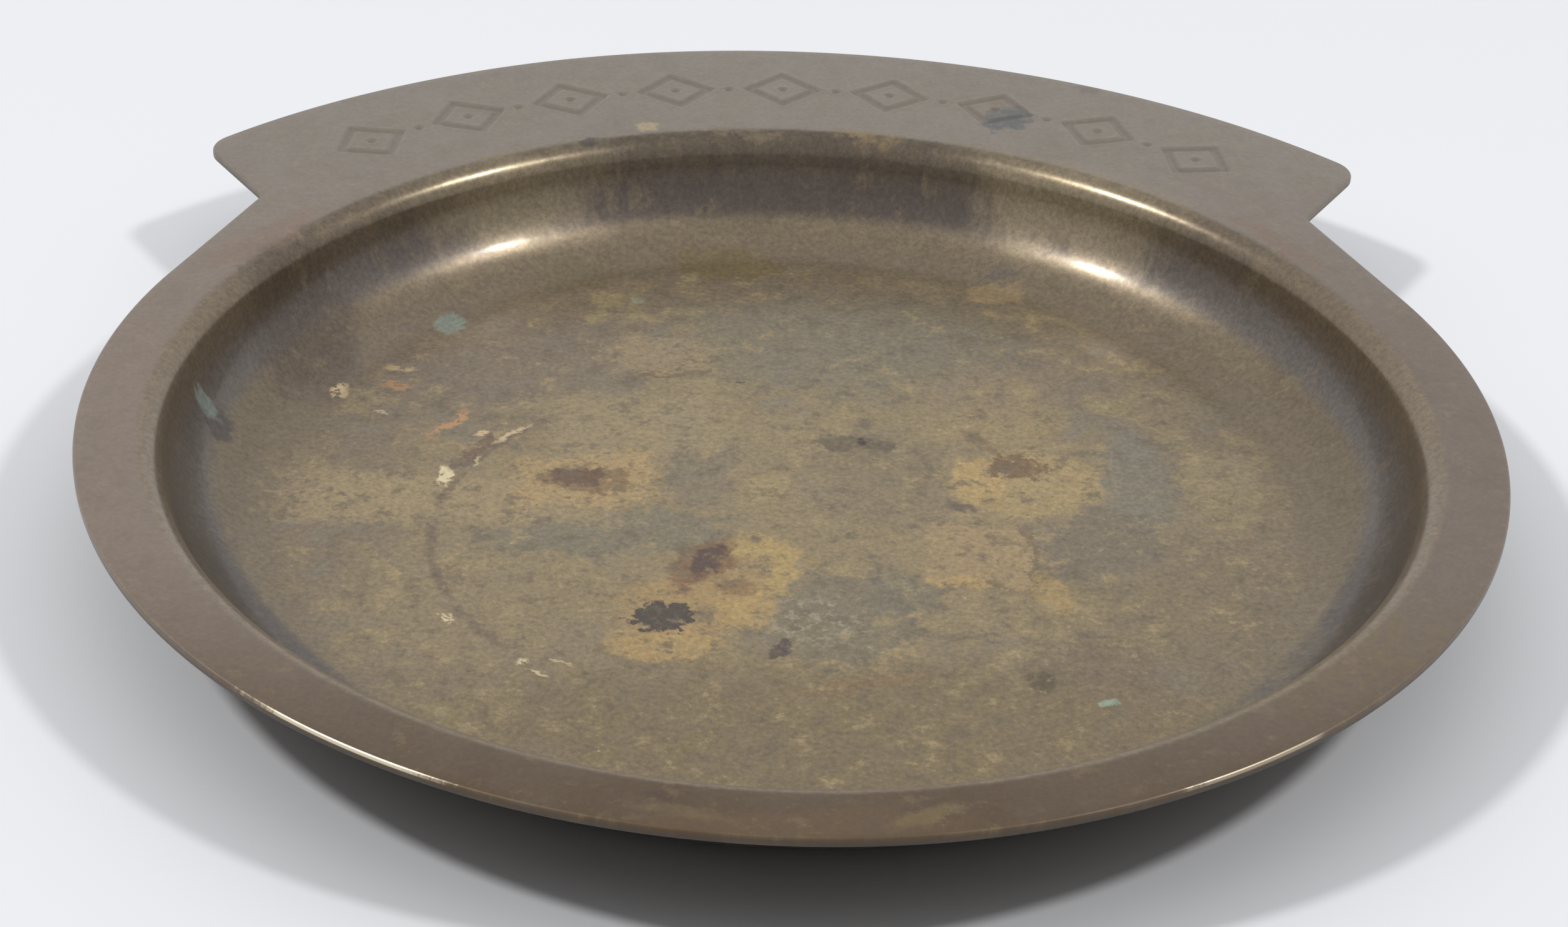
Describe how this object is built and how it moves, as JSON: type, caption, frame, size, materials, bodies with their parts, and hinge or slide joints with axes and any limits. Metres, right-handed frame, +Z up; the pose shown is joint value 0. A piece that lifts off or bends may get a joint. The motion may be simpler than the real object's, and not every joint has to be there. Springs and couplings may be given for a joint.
{
  "type": "coin tray",
  "caption": "Shallow round brass dish with a flat flange that widens at the back into a tab, to hold loose coins on a desk or dresser.",
  "frame": {"origin": "middle of the flat underside of the dish, on the surface that the tray rests on", "axes": "+Z up out of the dish, +Y from the dish's middle to the tab, +X to the right seen from the front"},
  "size_m": [0.12, 0.1344, 0.0109],
  "materials": {
    "tarnished_brass": "tarnished satin brass with a mottled patina"
  },
  "bodies": {
    "root": {"tray": "tarnished_brass"}
  },
  "joints": []
}
